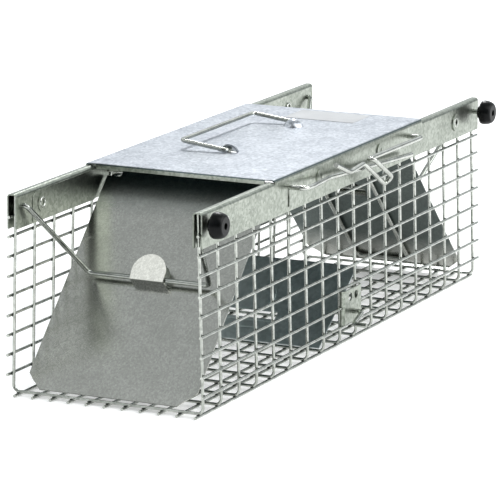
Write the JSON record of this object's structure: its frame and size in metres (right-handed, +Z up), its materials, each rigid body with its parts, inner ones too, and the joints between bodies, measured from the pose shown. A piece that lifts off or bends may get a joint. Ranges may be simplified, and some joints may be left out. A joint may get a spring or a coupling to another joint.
{
  "type": "live catch cage trap",
  "caption": "Wire mesh cage trap with a sheet cover, a sloping door and lock bar at each end, a trip pan and a carrying handle.",
  "frame": {"origin": "on the ground under the middle of the whole object, at the centre of its box", "axes": "+X along the cage towards its rear door, +Y across it away from the arms and the trigger plate, +Z up"},
  "size_m": [0.4418, 0.1604, 0.1391],
  "materials": {
    "zinc_sheet": "bright zinc-coated sheet steel with a fine spangle",
    "zinc_wire": "zinc-coated welded wire",
    "door_sheet": "glossy zinc-coated sheet",
    "pan_sheet": "dull zinc-coated sheet",
    "steel_rod": "drawn steel rod",
    "black_rubber": "moulded, semi-gloss",
    "label_film": "blank white label"
  },
  "bodies": {
    "cage": {"floor_mesh": "zinc_wire", "side_mesh_left": "zinc_wire", "side_mesh_right": "zinc_wire", "top_cover": "zinc_sheet", "rail_eyelets": "zinc_sheet", "cover_label": "label_film", "trigger_plate": "zinc_sheet", "pan_bracket": "zinc_sheet"},
    "handle": {"carry_handle": "steel_rod"},
    "front_door_set": {"front_door": "door_sheet", "front_door_rod": "steel_rod", "front_rod_retainer": "zinc_sheet"},
    "rear_door_set": {"rear_door": "door_sheet", "rear_door_rod": "steel_rod", "rear_rod_retainer": "zinc_sheet"},
    "front_lock": {"front_lock_bar": "steel_rod", "front_lock_knob": "black_rubber", "front_lock_retainer": "zinc_sheet"},
    "rear_lock": {"rear_lock_bar": "steel_rod", "rear_lock_knob": "black_rubber", "rear_lock_retainer": "zinc_sheet"},
    "pan": {"trip_pan": "pan_sheet", "pan_axle": "steel_rod", "pan_axle_retainer": "zinc_sheet"}
  },
  "joints": [
    {"name": "handle_swing", "type": "hinge", "parent": "cage", "child": "handle", "pos_m": [0.0065, 0.00665, 0.1337], "axis": [1, 0, 0], "range_deg": [0, 166]},
    {"name": "front_door_swing", "type": "hinge", "parent": "cage", "child": "front_door_set", "pos_m": [-0.0955, 0.00665, 0.124], "axis": [0, 1, 0], "range_deg": [0, 37]},
    {"name": "rear_door_swing", "type": "hinge", "parent": "cage", "child": "rear_door_set", "pos_m": [0.0955, 0.00665, 0.124], "axis": [0, 1, 0], "range_deg": [-37, 0]},
    {"name": "front_lock_swing", "type": "hinge", "parent": "cage", "child": "front_lock", "pos_m": [-0.2106, 0.00665, 0.1218], "axis": [0, 1, 0], "range_deg": [-127, 0]},
    {"name": "rear_lock_swing", "type": "hinge", "parent": "cage", "child": "rear_lock", "pos_m": [0.2106, 0.00665, 0.1218], "axis": [0, 1, 0], "range_deg": [0, 127]},
    {"name": "pan_tilt", "type": "hinge", "parent": "cage", "child": "pan", "pos_m": [0, 0.00665, 0.0226], "axis": [0, 1, 0], "range_deg": [0, 71]}
  ],
  "couplings": [
    {"joint": "front_lock_swing", "follows": "front_door_swing", "ratio": -3.4},
    {"joint": "rear_lock_swing", "follows": "rear_door_swing", "ratio": -3.4}
  ]
}
